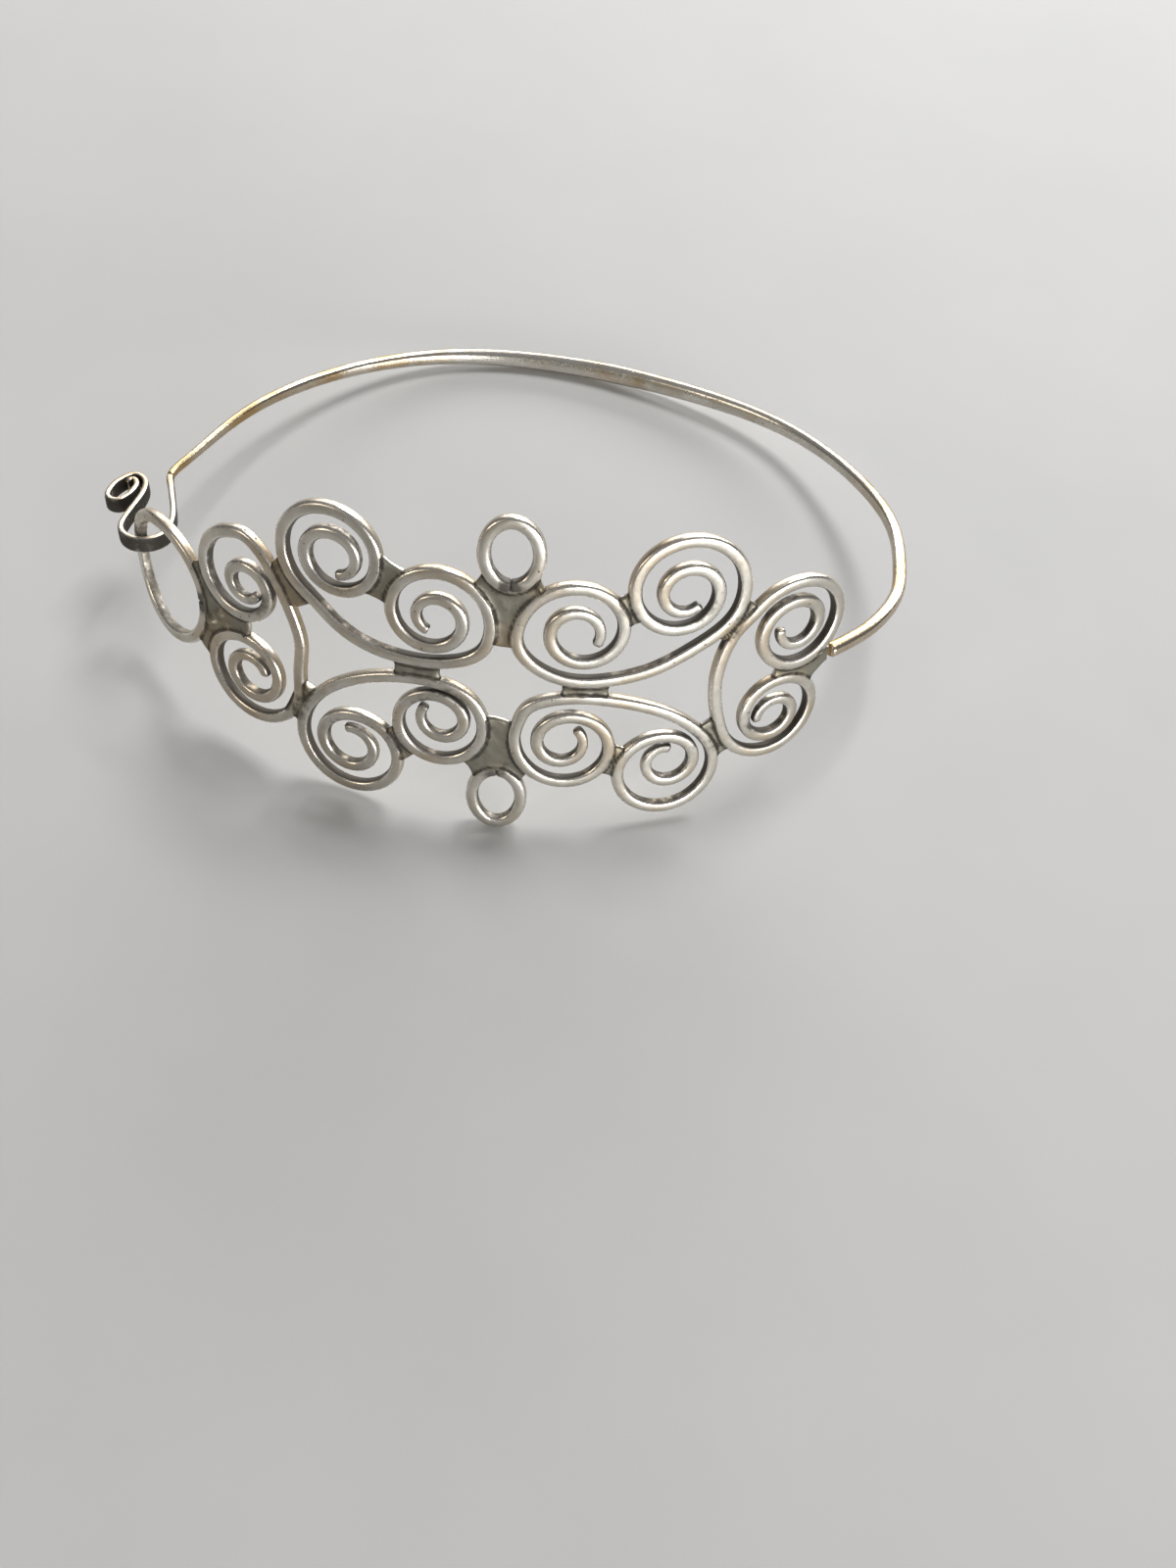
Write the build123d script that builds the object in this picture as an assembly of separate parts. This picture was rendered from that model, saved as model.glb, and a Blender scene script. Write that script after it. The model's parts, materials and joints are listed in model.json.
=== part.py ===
from build123d import *
import os
from collections import namedtuple
from math import atan2, cos, radians, sin

os.makedirs("parts", exist_ok=True)

# A hinged wire bangle: an openwork plaque of six scrolls, three loops and their solder webs,
# and a spring band that ends in a hook. Every piece is laid out in the bangle's own frame:
# X to the wearer's right, Y to the back of the wrist, Z along the forearm, ring centre at 0.
# The last step tips the bangle back onto the surface that it rests on.

# ---- driving dimensions, mm and degrees ----
RING_HALF_WIDTH = 32.5        # half the ring across X, to the centre of the wire
RING_FRONT = 19.4             # ring centre to the plaque, along -Y
PLAQUE_OFFSET = 1.6           # the plaque's middle, along the ring from the front
BAND_RISE = 0.116             # how far the band climbs for each mm towards the back
BAND_SLANT = 0.0211           # and for each mm towards the hook

SCROLL_WIRE = 1.0             # scroll wire across the plaque's face
SCROLL_DEPTH = 0.9            # scroll wire through the plaque
TIP_SHARE = 0.75              # width left at a scroll's tip
TIP_TURN = 200                # degrees over which a tip tapers
EDGE_ROUND = 0.24             # chamfer that stands for the softened edges of the wire
STEP_ANGLE = 15               # degrees between the cross-sections of a spiral
BACK_STEPS = 4                # cross-sections for each point of a scroll's back
JOIN_POINTS = 3               # points of each spiral that steer the back's curve
HALF_TURN = 180

WEB_DEPTH = 0.62              # solder web, through the plaque
WEB_RECESS = 0.08             # how far a web lies behind the wires' faces
WEB_FRONT = SCROLL_DEPTH / 2 - WEB_RECESS
SLAB_STEP = 0.7               # facets along the curved slab
PLATE_DEPTH = 1.8             # of the plate that the slab trims, each way

BAND_WIRE = 1.15              # band at its soldered end
# share of the band's length, height along Z and thickness: it is flattened at the back of the wrist
BAND_SIZES = (
    (0.0, BAND_WIRE, BAND_WIRE), (0.3, 1.2, 1.05), (0.52, 1.8, 1.25), (0.75, 1.25, 1.0), (1.0, 0.7, 0.6),
)
# the band, bent by hand: from the right end of the ring's oval, round the back, to the hook's corner
BAND_LINE = (
    (32.3, 6.0), (29.3, 13.0), (23.3, 19.6), (13.6, 24.2), (1.0, 26.6),
    (-11.0, 25.3), (-20.2, 19.9), (-26.6, 11.4), (-29.6, 2.6), (-30.0, 0.5),
)
OVAL_STEPS = 4                # points of the oval between the solder joint and BAND_LINE
BAND_STEPS = 56               # cross-sections along the band
HOOK_THICK = 0.5              # hammered strip, across
HOOK_TALL = 1.3               # hammered strip, along Z
HOOK_LEG = ((-29.6, -0.7), (-28.75, -2.85), (-28.0, -4.9))
HOOK_EYE = (-29.6, -7.05)     # centre of the hook's U
HOOK_RADIUS = 1.9
HOOK_CURL = (                 # from the U's left arm, once round and in
    (-31.25, -2.2), (-31.75, -0.9), (-32.6, -0.45), (-33.5, -1.3), (-33.95, -2.9), (-33.6, -4.1),
    (-32.9, -4.25), (-32.3, -3.6), (-32.05, -2.5), (-32.2, -1.5), (-32.6, -1.15), (-32.95, -1.6),
)
CURL_STEPS = 32
HOOK_EDGE = 0.12              # softened edges of the strip

HINGE_ARC = 26.1              # solder joint of the band, along the plaque
HINGE_Z = 0.5
HINGE_GAP = 0.1               # room round the end of the band
KNUCKLE_ROOM = 5.0            # its length, well over the web's

LEAN = 22.61                  # the plaque leans back by this much as the bangle rests
ROLL = -1.32                  # and tips a little to one side

Spiral = namedtuple("Spiral", "centre shift core rim growth start turn")
# centre drifts by shift from tip to rim, and the radius grows from core to rim
SCROLLS = {
    "upper_left_scroll": (
        Spiral((-5.3, 4.8), (-0.2, 0.3), 1.2, 4.5, 1.35, -116, -637),
        [(-4.2, 1.2), (-8.0, 1.0), (-12.0, 2.2)],
        Spiral((-12.7, 8.4), (0.0, 0.3), 1.4, 4.5, 1.3, -88, 685),
    ),
    "upper_right_scroll": (
        Spiral((4.9, 4.5), (0.7, 0.1), 1.8, 5.0, 2.4, -27, 578),
        [(4.0, 0.6), (7.5, 0.5), (11.0, 1.5), (14.0, 3.3)],
        Spiral((12.8, 7.8), (-0.4, 0.4), 1.3, 4.9, 1.35, -39, -706),
    ),
    "lower_left_scroll": (
        Spiral((-5.0, -4.0), (-0.6, -1.0), 1.4, 4.2, 1.35, 143, 627),
        [(-4.6, -0.95), (-7.5, -0.75), (-11.0, -1.6), (-14.0, -3.4)],
        Spiral((-12.4, -8.4), (0.5, -0.2), 1.5, 4.8, 1.3, 103, -667),
    ),
    "lower_right_scroll": (
        Spiral((4.3, -5.4), (1.05, -0.3), 1.7, 4.75, 1.9, 45, -610),
        [(1.6, -2.45), (3.2, -1.5), (6.0, -1.15), (9.5, -1.65), (12.2, -2.6), (14.4, -4.05)],
        Spiral((12.8, -7.1), (-0.5, -1.5), 0.85, 4.6, 1.0, 76, 676),
    ),
    "right_end_scroll": (
        Spiral((22.0, 3.9), (0.3, -0.2), 1.2, 4.5, 1.1, 179, 689),
        [(17.2, 4.6), (16.25, 2.3), (16.0, 0.0), (16.35, -2.6)],
        Spiral((21.4, -4.4), (0.1, 0.8), 1.3, 4.6, 1.45, -171, -713),
    ),
    "left_end_scroll": (
        Spiral((-20.5, 3.6), (-0.6, 0.4), 0.95, 4.3, 1.6, -22, -618),
        [(-19.0, 7.35), (-18.0, 5.9), (-17.2, 4.2), (-16.5, 2.2), (-16.1, 0.0), (-16.4, -2.5)],
        Spiral((-21.0, -4.4), (-0.3, 0.2), 1.3, 4.75, 1.35, 9, 705),
    ),
}

Loop = namedtuple("Loop", "centre half_width half_height joint")
# closed ovals of the same wire, each with its butt joint under a web
LOOPS = {
    "top_loop": Loop((0.15, 10.8), 1.95, 2.55, -90),
    "bottom_loop": Loop((-0.5, -11.4), 1.95, 2.7, 90),
    "clasp_eye": Loop((-30.0, 0.6), 4.75, 5.15, 0),
}
LOOP_STEPS = 36
LOOP_BUTT = 0.5               # degrees left open at a loop's butt joint

# outline of each web: corner, middle, corner, middle and so on, each pair joined by an arc
WEBS = {
    "upper_left_web": [(-9.75, 10.3), (-8.35, 8.95), (-7.0, 8.45), (-8.15, 7.1),
                       (-8.5, 5.3), (-9.55, 5.75), (-10.9, 6.15), (-9.45, 8.2)],
    "upper_right_web": [(7.0, 7.6), (7.9, 7.85), (9.0, 8.6), (9.15, 7.2),
                        (10.2, 5.9), (9.3, 5.6), (8.4, 5.0), (8.15, 6.5)],
    "lower_left_web": [(-10.2, -5.95), (-9.1, -5.9), (-8.3, -5.2), (-8.2, -6.3),
                       (-6.9, -7.9), (-7.7, -8.7), (-8.6, -9.3), (-8.9, -7.6)],
    "lower_right_web": [(8.2, -5.4), (8.9, -5.75), (9.9, -6.1), (9.2, -7.3),
                        (8.85, -9.0), (8.1, -8.6), (7.0, -8.4), (8.05, -7.0)],
    "top_web": [(-2.9, 7.9), (-2.3, 8.5), (-1.75, 9.6), (0.15, 8.25),
                (2.05, 9.6), (2.4, 8.7), (3.0, 7.8), (1.25, 6.0),
                (0.7, 3.2), (-0.25, 3.1), (-1.3, 3.3), (-1.35, 6.0)],
    "bottom_web": [(-1.75, -3.5), (-0.6, -3.4), (0.65, -3.9), (0.75, -6.0),
                   (2.2, -8.5), (1.7, -9.0), (1.3, -10.2), (-0.5, -8.7),
                   (-2.35, -10.2), (-2.6, -8.9), (-3.4, -7.9), (-1.9, -6.0)],
    "middle_left_web": [(-8.8, 1.15), (-6.5, 0.95), (-4.4, 1.15), (-4.95, 0.15),
                        (-4.2, -1.0), (-6.5, -0.75), (-8.9, -0.95), (-8.45, 0.2)],
    "middle_right_web": [(3.8, 0.65), (5.8, 0.45), (8.6, 0.75), (7.7, -0.4),
                         (8.3, -1.4), (6.0, -1.15), (3.6, -1.35), (4.2, -0.35)],
    "right_upper_web": [(16.95, 7.6), (17.85, 6.9), (18.7, 6.35), (17.5, 5.0),
                        (16.6, 3.4), (16.0, 3.75), (14.9, 4.0), (16.2, 5.6)],
    "right_lower_web": [(14.7, -4.3), (15.6, -3.9), (16.5, -3.2), (17.2, -5.0),
                        (18.4, -6.7), (17.6, -7.1), (16.9, -7.8), (16.2, -6.0)],
    "left_upper_web": [(-18.2, 6.3), (-17.6, 7.0), (-16.9, 7.9), (-16.4, 6.4),
                       (-14.6, 4.2), (-15.7, 3.6), (-16.9, 3.2), (-17.6, 5.0)],
    "left_lower_web": [(-16.5, -3.2), (-15.7, -3.5), (-14.6, -4.1), (-16.0, -6.0),
                       (-16.6, -7.9), (-17.2, -7.3), (-18.3, -7.0), (-17.3, -5.0)],
    "left_end_web": [(-24.2, 4.4), (-25.1, 4.3), (-26.1, 3.8), (-25.25, 0.6),
                     (-26.5, -2.9), (-25.8, -4.1), (-24.7, -4.4), (-23.2, -1.5),
                     (-20.9, -1.05), (-20.6, -0.1), (-20.8, 1.0), (-23.3, 1.9)],
    "right_end_web": [(20.9, 0.75), (22.6, 0.45), (24.9, 1.5), (25.5, 1.2),
                      (25.9, 1.1), (25.8, 0.5), (25.9, -0.1), (25.1, -0.75),
                      (24.3, -1.9), (22.6, -0.75), (20.6, -1.0), (20.85, -0.1)],
}

# ---- the ring's plan, and the curved face that the plaque lies in ----
PLAN_FRONT = EllipticalCenterArc((0, 0), RING_HALF_WIDTH, RING_FRONT, 180, arc_size=180)


def face_frame(arc, height):
    """Point on the plaque's middle surface, with its tangent and outward normal."""
    distance = PLAN_FRONT.length / 2 + arc + PLAQUE_OFFSET
    spot = PLAN_FRONT.position_at(distance, PositionMode.LENGTH)
    along = PLAN_FRONT.tangent_at(distance, PositionMode.LENGTH)
    return Vector(spot.X, spot.Y, height), along, Vector(along.Y, -along.X, 0)


def in_band_plane(x, y):
    """Point of the band or hook, which lie in one plane that climbs to the back and to the hook."""
    return Vector(x, y, HINGE_Z + BAND_RISE * (y - HINGE.Y) + BAND_SLANT * (HINGE.X - x))


HINGE = face_frame(HINGE_ARC, HINGE_Z)[0]
# the hinge's axis is upright once the bangle is tipped back, so that the band opens along the table
UPRIGHT_AT_HINGE = Pos(HINGE) * Rotation(0, -ROLL, 0) * Rotation(LEAN, 0, 0)


# ---- wires: a soft-edged rectangle carried along a line ----
def section(spot, side, out, width, depth, edge):
    """Closed outline of the wire at one place: width along side, depth along out."""
    half_w, half_d = width / 2, depth / 2
    flat_w, flat_d = half_w - edge, half_d - edge
    corners = [
        (half_w, flat_d), (flat_w, half_d), (-flat_w, half_d), (-half_w, flat_d),
        (-half_w, -flat_d), (-flat_w, -half_d), (flat_w, -half_d), (half_w, -flat_d),
    ]
    return Wire.make_polygon([spot + side * a + out * b for a, b in corners], close=True)


def square_frames(spots, outs):
    """Place, side and outward direction of each cross-section, square to the line."""
    frames = []
    last = len(spots) - 1
    for i, (spot, out) in enumerate(zip(spots, outs)):
        along = (spots[min(i + 1, last)] - spots[max(i - 1, 0)]).normalized()
        side = along.cross(out).normalized()
        frames.append((spot, side, side.cross(along)))
    return frames


def wire_solid(frames, widths, depths, edge=EDGE_ROUND):
    """Solid through one section at each frame, with straight walls between them."""
    sections = [section(*frame, widths[i], depths[i], edge) for i, frame in enumerate(frames)]
    return Solid.make_loft(sections, ruled=True)


def spiral_points(spiral):
    steps = round(abs(spiral.turn) / STEP_ANGLE)
    points = []
    for i in range(steps + 1):
        share = i / steps
        angle = radians(spiral.start + spiral.turn * share)
        radius = spiral.core + (spiral.rim - spiral.core) * share ** spiral.growth
        points.append((
            spiral.centre[0] + spiral.shift[0] * share + radius * cos(angle),
            spiral.centre[1] + spiral.shift[1] * share + radius * sin(angle),
        ))
    return points


def back_points(before, back, after):
    """The scroll's back: a smooth curve through its points, met by a spiral at each end."""
    curve = Spline(*before[-JOIN_POINTS:], *back, *after[:JOIN_POINTS])
    first, last = curve.param_at_point(Vector(*before[-1])), curve.param_at_point(Vector(*after[0]))
    steps = BACK_STEPS * (len(back) + 1)
    spots = [curve.position_at(first + (last - first) * i / steps) for i in range(1, steps)]
    return [(spot.X, spot.Y) for spot in spots]


def scroll_solid(inner, back, outer):
    first, second = spiral_points(inner), spiral_points(outer)[::-1]
    flat = first + back_points(first, back, second) + second
    frames = [face_frame(*point) for point in flat]
    last = len(flat) - 1
    ends = [min(i, last - i) * STEP_ANGLE / TIP_TURN for i in range(last + 1)]
    shares = [min(1.0, TIP_SHARE + (1 - TIP_SHARE) * end) for end in ends]
    return wire_solid(
        square_frames([frame[0] for frame in frames], [frame[2] for frame in frames]),
        [SCROLL_WIRE * share for share in shares],
        [SCROLL_DEPTH * share for share in shares],
    )


def loop_solid(loop):
    frames = []
    for i in range(LOOP_STEPS + 1):
        angle = radians(loop.joint + LOOP_BUTT + (360 - 2 * LOOP_BUTT) * i / LOOP_STEPS)
        frames.append(face_frame(
            loop.centre[0] + loop.half_width * cos(angle), loop.centre[1] + loop.half_height * sin(angle)))
    count = len(frames)
    square = square_frames([frame[0] for frame in frames], [frame[2] for frame in frames])
    return wire_solid(square, [SCROLL_WIRE] * count, [SCROLL_DEPTH] * count)


# ---- solder webs ----
def web_slab(first_arc, last_arc):
    """Curved slab that a web is cut from, between two places along the plaque."""
    count = 1 + round((last_arc - first_arc) / SLAB_STEP)
    frames = [face_frame(first_arc + (last_arc - first_arc) * i / count, 0) for i in range(count + 1)]
    front = [spot + out * WEB_FRONT for spot, along, out in frames]
    back = [spot - out * (WEB_DEPTH - WEB_FRONT) for spot, along, out in frames]
    return extrude(make_face(Polyline(front + back[::-1], close=True)), RING_FRONT, both=True)


def largest(shape):
    return max(shape.solids(), key=lambda piece: piece.volume)


def web_solid(outline, wires):
    """Plate between wires: its outline is laid on the plaque and cut back by every wire."""
    arcs = [point[0] for point in outline]
    middle_arc = sum(arcs) / len(outline)
    middle_z = sum(point[1] for point in outline) / len(outline)
    spot, along, out = face_frame(middle_arc, middle_z)
    plane = Plane(spot, x_dir=along, z_dir=out)
    flat = [(point[0] - middle_arc, point[1] - middle_z) for point in outline]
    sides = [ThreePointArc(flat[i - 2], flat[i - 1], flat[i]) for i in range(2, len(flat), 2)]
    sides.append(ThreePointArc(flat[-2], flat[-1], flat[0]))
    plate = extrude(plane * make_face(sides), PLATE_DEPTH, both=True)
    plate = largest(plate & web_slab(min(arcs) - SLAB_STEP, max(arcs) + SLAB_STEP))
    for tool in wires:
        plate = largest(plate - tool)
    return plate


# ---- the band and its hook, bent from one wire ----
def plan_frames(points):
    """Cross-section frames along a line in the band's plane."""
    spots = [in_band_plane(*point) for point in points]
    last = len(spots) - 1
    ways = [spots[min(i + 1, last)] - spots[max(i - 1, 0)] for i in range(last + 1)]
    return square_frames(spots, [Vector(way.Y, -way.X, 0).normalized() for way in ways])


def band_points():
    start = atan2(HINGE.Y / RING_FRONT, HINGE.X / RING_HALF_WIDTH)
    angles = [start * (1 - i / OVAL_STEPS) for i in range(OVAL_STEPS + 1)]
    oval = [(RING_HALF_WIDTH * cos(angle), RING_FRONT * sin(angle)) for angle in angles]
    curve = Spline(*oval, *BAND_LINE)
    spots = [curve.position_at(i / BAND_STEPS, PositionMode.PARAMETER) for i in range(BAND_STEPS + 1)]
    return [(spot.X, spot.Y) for spot in spots]


def size_at(share, column):
    """Height (column 1) or thickness (column 2) of the band at a share of its length."""
    for before, after in zip(BAND_SIZES, BAND_SIZES[1:]):
        if share <= after[0]:
            break
    part = (share - before[0]) / (after[0] - before[0])
    return before[column] + (after[column] - before[column]) * part


def band_solid(frames):
    shares = [i / (len(frames) - 1) for i in range(len(frames))]
    heights, thicknesses = ([size_at(share, column) for share in shares] for column in (1, 2))
    wire = wire_solid(frames, heights, thicknesses)
    return (wire + UPRIGHT_AT_HINGE * Cylinder(BAND_WIRE / 2, BAND_WIRE)).solid()


def hook_points():
    """The leg, the U that goes round the clasp eye, and the curl at the tip."""
    points = list(HOOK_LEG)
    for i in range(HALF_TURN // STEP_ANGLE + 1):
        angle = -radians(i * STEP_ANGLE)
        points.append((HOOK_EYE[0] + HOOK_RADIUS * cos(angle), HOOK_EYE[1] + HOOK_RADIUS * sin(angle)))
    curve = Spline(*points[-JOIN_POINTS:], *HOOK_CURL)
    first = curve.param_at_point(Vector(*points[-1]))
    spots = [curve.position_at(first + (1 - first) * i / CURL_STEPS) for i in range(1, CURL_STEPS + 1)]
    return points + [(spot.X, spot.Y) for spot in spots]


def hook_solid(frames):
    """Strip that starts as the band ends and is forged tall and thin by the leg's first bend."""
    count = len(frames) - 1
    share, band_tall, band_thick = BAND_SIZES[-1]
    talls = [band_tall] + [HOOK_TALL] * count
    thicks = [band_thick] + [HOOK_THICK] * count
    return wire_solid(frames, talls, thicks, HOOK_EDGE)


# ---- the whole bangle ----
pieces = {name: scroll_solid(*shape) for name, shape in SCROLLS.items()}
pieces.update({name: loop_solid(loop) for name, loop in LOOPS.items()})
wires = list(pieces.values())
band_line = band_points()
corner = len(band_line) - 1
bent_wire = plan_frames(band_line + hook_points())
pieces["band_wire"] = band_solid(bent_wire[:corner + 1])
pieces["clasp_hook"] = hook_solid(bent_wire[corner:])
knuckle_room = UPRIGHT_AT_HINGE * Cylinder(BAND_WIRE / 2 + HINGE_GAP, KNUCKLE_ROOM)
for name, outline in WEBS.items():
    pieces[name] = web_solid(outline, wires + [knuckle_room])

tip_back = Rotation(-LEAN, 0, 0) * Rotation(0, ROLL, 0)
tipped = {name: tip_back * piece for name, piece in pieces.items()}
boxes = [piece.bounding_box() for piece in tipped.values()]
middle_x = (min(box.min.X for box in boxes) + max(box.max.X for box in boxes)) / 2
middle_y = (min(box.min.Y for box in boxes) + max(box.max.Y for box in boxes)) / 2
to_table = Pos(-middle_x, -middle_y, -min(box.min.Z for box in boxes))
for name, piece in tipped.items():
    export_step(to_table * piece, f"parts/{name}.step")
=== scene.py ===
import json
from collections import namedtuple
from math import atan2, ceil, cos, pi, radians, sin

import bpy
import numpy as np
from mathutils import Matrix, Vector, noise
from mathutils.geometry import delaunay_2d_cdt
from mathutils.kdtree import KDTree


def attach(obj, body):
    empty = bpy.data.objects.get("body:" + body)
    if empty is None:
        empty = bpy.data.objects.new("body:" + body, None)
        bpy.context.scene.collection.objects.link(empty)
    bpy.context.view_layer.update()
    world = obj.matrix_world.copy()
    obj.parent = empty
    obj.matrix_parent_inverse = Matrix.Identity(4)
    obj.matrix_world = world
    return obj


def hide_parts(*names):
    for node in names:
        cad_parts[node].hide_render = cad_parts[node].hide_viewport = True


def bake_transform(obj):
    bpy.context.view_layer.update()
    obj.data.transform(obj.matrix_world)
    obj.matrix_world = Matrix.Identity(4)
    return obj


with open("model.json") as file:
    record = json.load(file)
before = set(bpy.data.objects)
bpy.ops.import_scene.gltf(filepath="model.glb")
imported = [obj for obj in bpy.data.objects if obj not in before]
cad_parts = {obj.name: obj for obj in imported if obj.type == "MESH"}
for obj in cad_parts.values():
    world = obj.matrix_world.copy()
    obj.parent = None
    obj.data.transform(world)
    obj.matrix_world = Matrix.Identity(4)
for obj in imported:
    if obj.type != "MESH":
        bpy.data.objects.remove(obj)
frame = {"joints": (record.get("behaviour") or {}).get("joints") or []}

# The visible bangle. Its pieces are laid out in millimetres in the bangle's own frame, as the CAD
# lays them out: X along the plaque, Y to the back of the wrist, Z along the forearm, ring centre at 0.
# Each piece is then placed in the row frame through the hinge, the one point both frames know.

# ---- driving dimensions, mm and degrees ----
MM = 0.001
RING_HALF_WIDTH = 32.5
RING_FRONT = 19.4
PLAQUE_OFFSET = 1.6
BAND_RISE, BAND_SLANT = 0.116, 0.0211
LEAN, ROLL = radians(22.61), radians(-1.32)

SCROLL_WIRE, SCROLL_DEPTH = 1.0, 0.9
TIP_SHARE = 0.75              # width left at a scroll's tip
TIP_LENGTH = 5.0              # over which a tip tapers
WEB_FRONT, WEB_BACK = 0.37, -0.25
# share of the band's length, height along Z, thickness
BAND_SIZES = [(0.0, 1.15, 1.15), (0.3, 1.2, 1.05), (0.52, 1.8, 1.25), (0.75, 1.25, 1.0), (1.0, 0.7, 0.6)]
HOOK_THICK, HOOK_TALL = 0.5, 1.3

HINGE_ARC, HINGE_Z = 26.1, 0.5
BAND_LINE = [
    (32.3, 6.0), (29.3, 13.0), (23.3, 19.6), (13.6, 24.2), (1.0, 26.6),
    (-11.0, 25.3), (-20.2, 19.9), (-26.6, 11.4), (-29.6, 2.6), (-30.0, 0.5),
]
OVAL_STEPS = 4
HOOK_LEG = [(-29.6, -0.7), (-28.75, -2.85), (-28.0, -4.9)]
HOOK_EYE, HOOK_RADIUS = (-29.6, -7.05), 1.9
HOOK_CURL = [
    (-31.25, -2.2), (-31.75, -0.9), (-32.6, -0.45), (-33.5, -1.3), (-33.95, -2.9), (-33.6, -4.1),
    (-32.9, -4.25), (-32.3, -3.6), (-32.05, -2.5), (-32.2, -1.5), (-32.6, -1.15), (-32.95, -1.6),
]

STEP_ANGLE = 15               # degrees between the control points of a curl
LOOP_POINTS = 37              # control points of a closed loop
WIRE_STEP = 0.14              # mm between the rings of a plaque wire's mesh
BAND_STEP = 0.16              # the same along the band and the hook
HOOK_SPREAD = 4.0             # length over which the band's end widens into the hook
AROUND = 24                   # points round a wire
CUT_ROUND = 0.1               # rounding of a wire's cut ends

# how square a wire's section is: 2 is an ellipse, and higher is squarer
PLAQUE_SQUARENESS, BAND_SQUARENESS, HOOK_SQUARENESS = 3.4, 2.7, 5.0
WIRE_LUMPS, HOOK_LUMPS = 0.02, 0.05    # unevenness, as a share of the section
BAND_SEED, HOOK_SEED = 31, 37

Spiral = namedtuple("Spiral", "centre shift core rim growth start turn")
SCROLLS = {
    "upper_left_scroll": (
        Spiral((-5.3, 4.8), (-0.2, 0.3), 1.2, 4.5, 1.35, -116, -637),
        [(-4.2, 1.2), (-8.0, 1.0), (-12.0, 2.2)],
        Spiral((-12.7, 8.4), (0.0, 0.3), 1.4, 4.5, 1.3, -88, 685),
    ),
    "upper_right_scroll": (
        Spiral((4.9, 4.5), (0.7, 0.1), 1.8, 5.0, 2.4, -27, 578),
        [(4.0, 0.6), (7.5, 0.5), (11.0, 1.5), (14.0, 3.3)],
        Spiral((12.8, 7.8), (-0.4, 0.4), 1.3, 4.9, 1.35, -39, -706),
    ),
    "lower_left_scroll": (
        Spiral((-5.0, -4.0), (-0.6, -1.0), 1.4, 4.2, 1.35, 143, 627),
        [(-4.6, -0.95), (-7.5, -0.75), (-11.0, -1.6), (-14.0, -3.4)],
        Spiral((-12.4, -8.4), (0.5, -0.2), 1.5, 4.8, 1.3, 103, -667),
    ),
    "lower_right_scroll": (
        Spiral((4.3, -5.4), (1.05, -0.3), 1.7, 4.75, 1.9, 45, -610),
        [(1.6, -2.45), (3.2, -1.5), (6.0, -1.15), (9.5, -1.65), (12.2, -2.6), (14.4, -4.05)],
        Spiral((12.8, -7.1), (-0.5, -1.5), 0.85, 4.6, 1.0, 76, 676),
    ),
    "right_end_scroll": (
        Spiral((22.0, 3.9), (0.3, -0.2), 1.2, 4.5, 1.1, 179, 689),
        [(17.2, 4.6), (16.25, 2.3), (16.0, 0.0), (16.35, -2.6)],
        Spiral((21.4, -4.4), (0.1, 0.8), 1.3, 4.6, 1.45, -171, -713),
    ),
    "left_end_scroll": (
        Spiral((-20.5, 3.6), (-0.6, 0.4), 0.95, 4.3, 1.6, -22, -618),
        [(-19.0, 7.35), (-18.0, 5.9), (-17.2, 4.2), (-16.5, 2.2), (-16.1, 0.0), (-16.4, -2.5)],
        Spiral((-21.0, -4.4), (-0.3, 0.2), 1.3, 4.75, 1.35, 9, 705),
    ),
}

Loop = namedtuple("Loop", "centre half_width half_height joint")
LOOPS = {
    "top_loop": Loop((0.15, 10.8), 1.95, 2.55, -90),
    "bottom_loop": Loop((-0.5, -11.4), 1.95, 2.7, 90),
    "clasp_eye": Loop((-30.0, 0.6), 4.75, 5.15, 0),
}

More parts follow.
